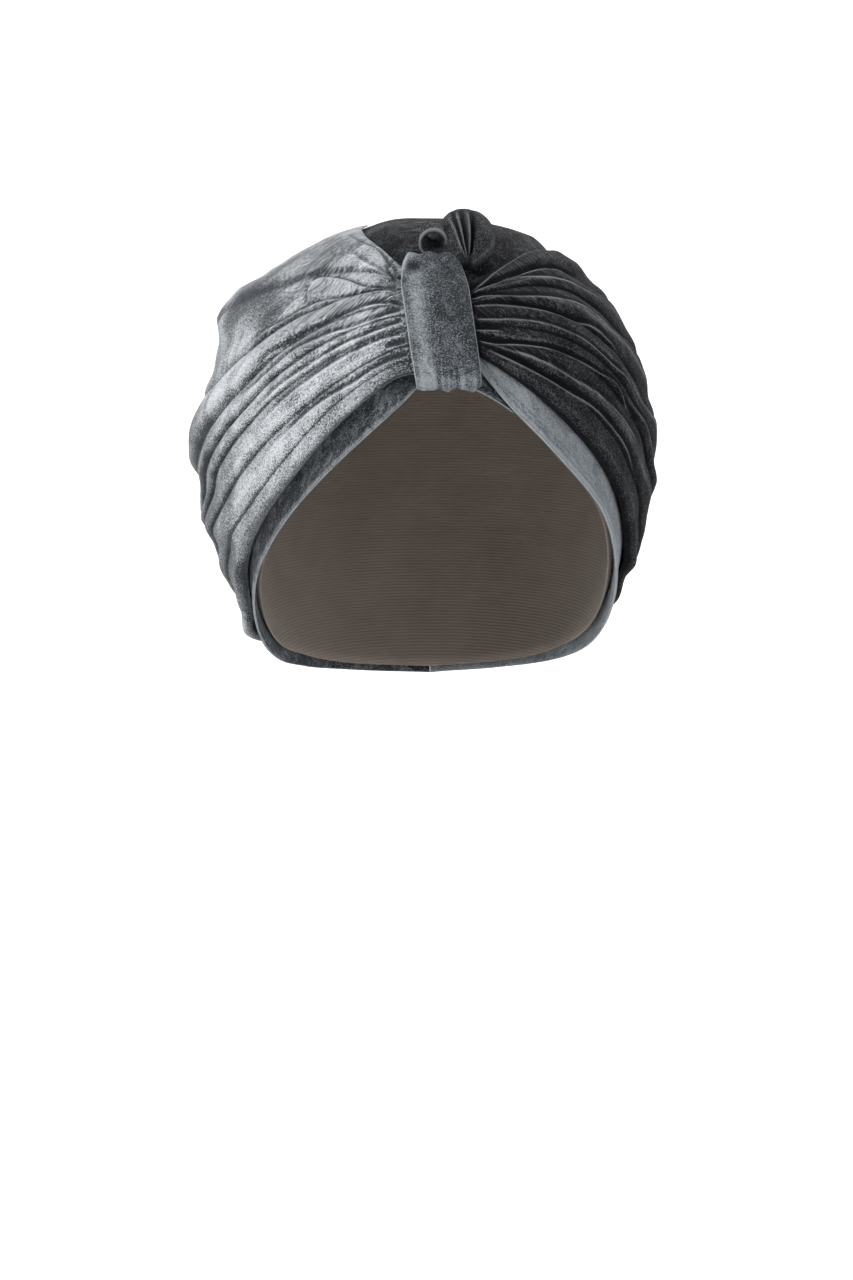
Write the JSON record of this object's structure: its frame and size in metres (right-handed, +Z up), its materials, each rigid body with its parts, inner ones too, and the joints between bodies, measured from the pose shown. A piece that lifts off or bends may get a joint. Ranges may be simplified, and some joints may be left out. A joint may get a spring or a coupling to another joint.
{
  "type": "turban headwrap",
  "caption": "Velvet turban headwrap: two pleated wraps gathered into a short front band, turned hem bands, a puffed crown gather and a thin lining, open for the head.",
  "frame": {"origin": "top of the head hollow, where the crown of the head bears", "axes": "+Z up, the face opening looks along -Y, +X is the side on the viewer's right"},
  "size_m": [0.1861, 0.2111, 0.1947],
  "materials": {
    "silver_velvet": "crushed velvet with a bright sheen",
    "charcoal_velvet": "dark velvet, bright along the folds",
    "hem_dark_velvet": "turned velvet hem",
    "hem_light_velvet": "turned velvet hem with close stitch lines",
    "band_velvet": "slate velvet",
    "lining_knit": "matt knit"
  },
  "bodies": {
    "root": {"lining": "lining_knit", "crown_panel": "charcoal_velvet", "left_hem_band": "hem_dark_velvet", "right_hem_band": "hem_light_velvet", "left_wrap": "silver_velvet", "right_wrap": "charcoal_velvet", "front_band": "band_velvet", "crown_puff": "charcoal_velvet", "puff_curl": "charcoal_velvet"}
  },
  "joints": []
}
